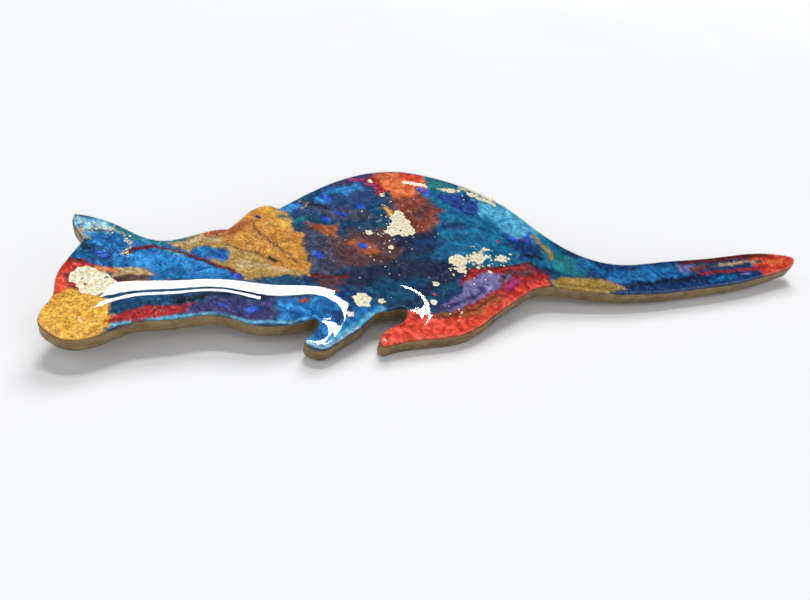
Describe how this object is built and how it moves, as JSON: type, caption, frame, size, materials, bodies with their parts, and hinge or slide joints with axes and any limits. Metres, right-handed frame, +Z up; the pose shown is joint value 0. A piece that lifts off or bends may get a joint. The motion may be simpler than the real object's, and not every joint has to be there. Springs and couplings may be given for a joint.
{
  "type": "cat-shaped resin brooch",
  "caption": "Long flat brooch cut as a crouching cat: marbled mica colour and metal leaf under clear domed resin, with a hinged safety pin glued to its back.",
  "frame": {"origin": "middle of the footprint on the surface the brooch lies on, face up, resting on its rear paw, catch and hinge", "axes": "+X from the nose to the tail tip, +Y from the paws towards the back, +Z up"},
  "size_m": [0.1202, 0.0348, 0.0129],
  "materials": {
    "bronze_paint": "fine-grained board painted with bronze paint, satin",
    "mica_colour": "mica and glitter in pigmented resin, blue, violet, red, orange and gold",
    "metal_leaf": "crinkled thin leaf",
    "clear_resin": "clear, wet-looking gloss",
    "epoxy": "cured clear-amber epoxy",
    "nickel_steel": "nickel-plated steel, slightly dulled",
    "pin_steel": "polished hard steel wire"
  },
  "bodies": {
    "brooch": {"backing_plate": "bronze_paint", "enamel_layer": "mica_colour", "leaf_cheek": "metal_leaf", "leaf_flank": "metal_leaf", "leaf_haunch": "metal_leaf", "leaf_back_edge": "metal_leaf", "leaf_crumbs": "metal_leaf", "resin_dome": "clear_resin", "glue_bed": "epoxy", "bar_base": "nickel_steel", "hinge_rivet": "nickel_steel", "catch_housing": "nickel_steel"},
    "pin": {"pin_stem": "pin_steel"},
    "roller": {"safety_roller": "nickel_steel"}
  },
  "joints": [
    {"name": "pin_hinge", "type": "hinge", "parent": "brooch", "child": "pin", "pos_m": [0.00501, 0.00273, 0.00175], "axis": [-0.0027, -0.9582, -0.2861], "range_deg": [0, 100]},
    {"name": "roller_turn", "type": "hinge", "parent": "brooch", "child": "roller", "pos_m": [-0.03299, 0.00263, 0.00245], "axis": [-0.9998, -0.0027, 0.0183], "range_deg": [0, 90]}
  ]
}
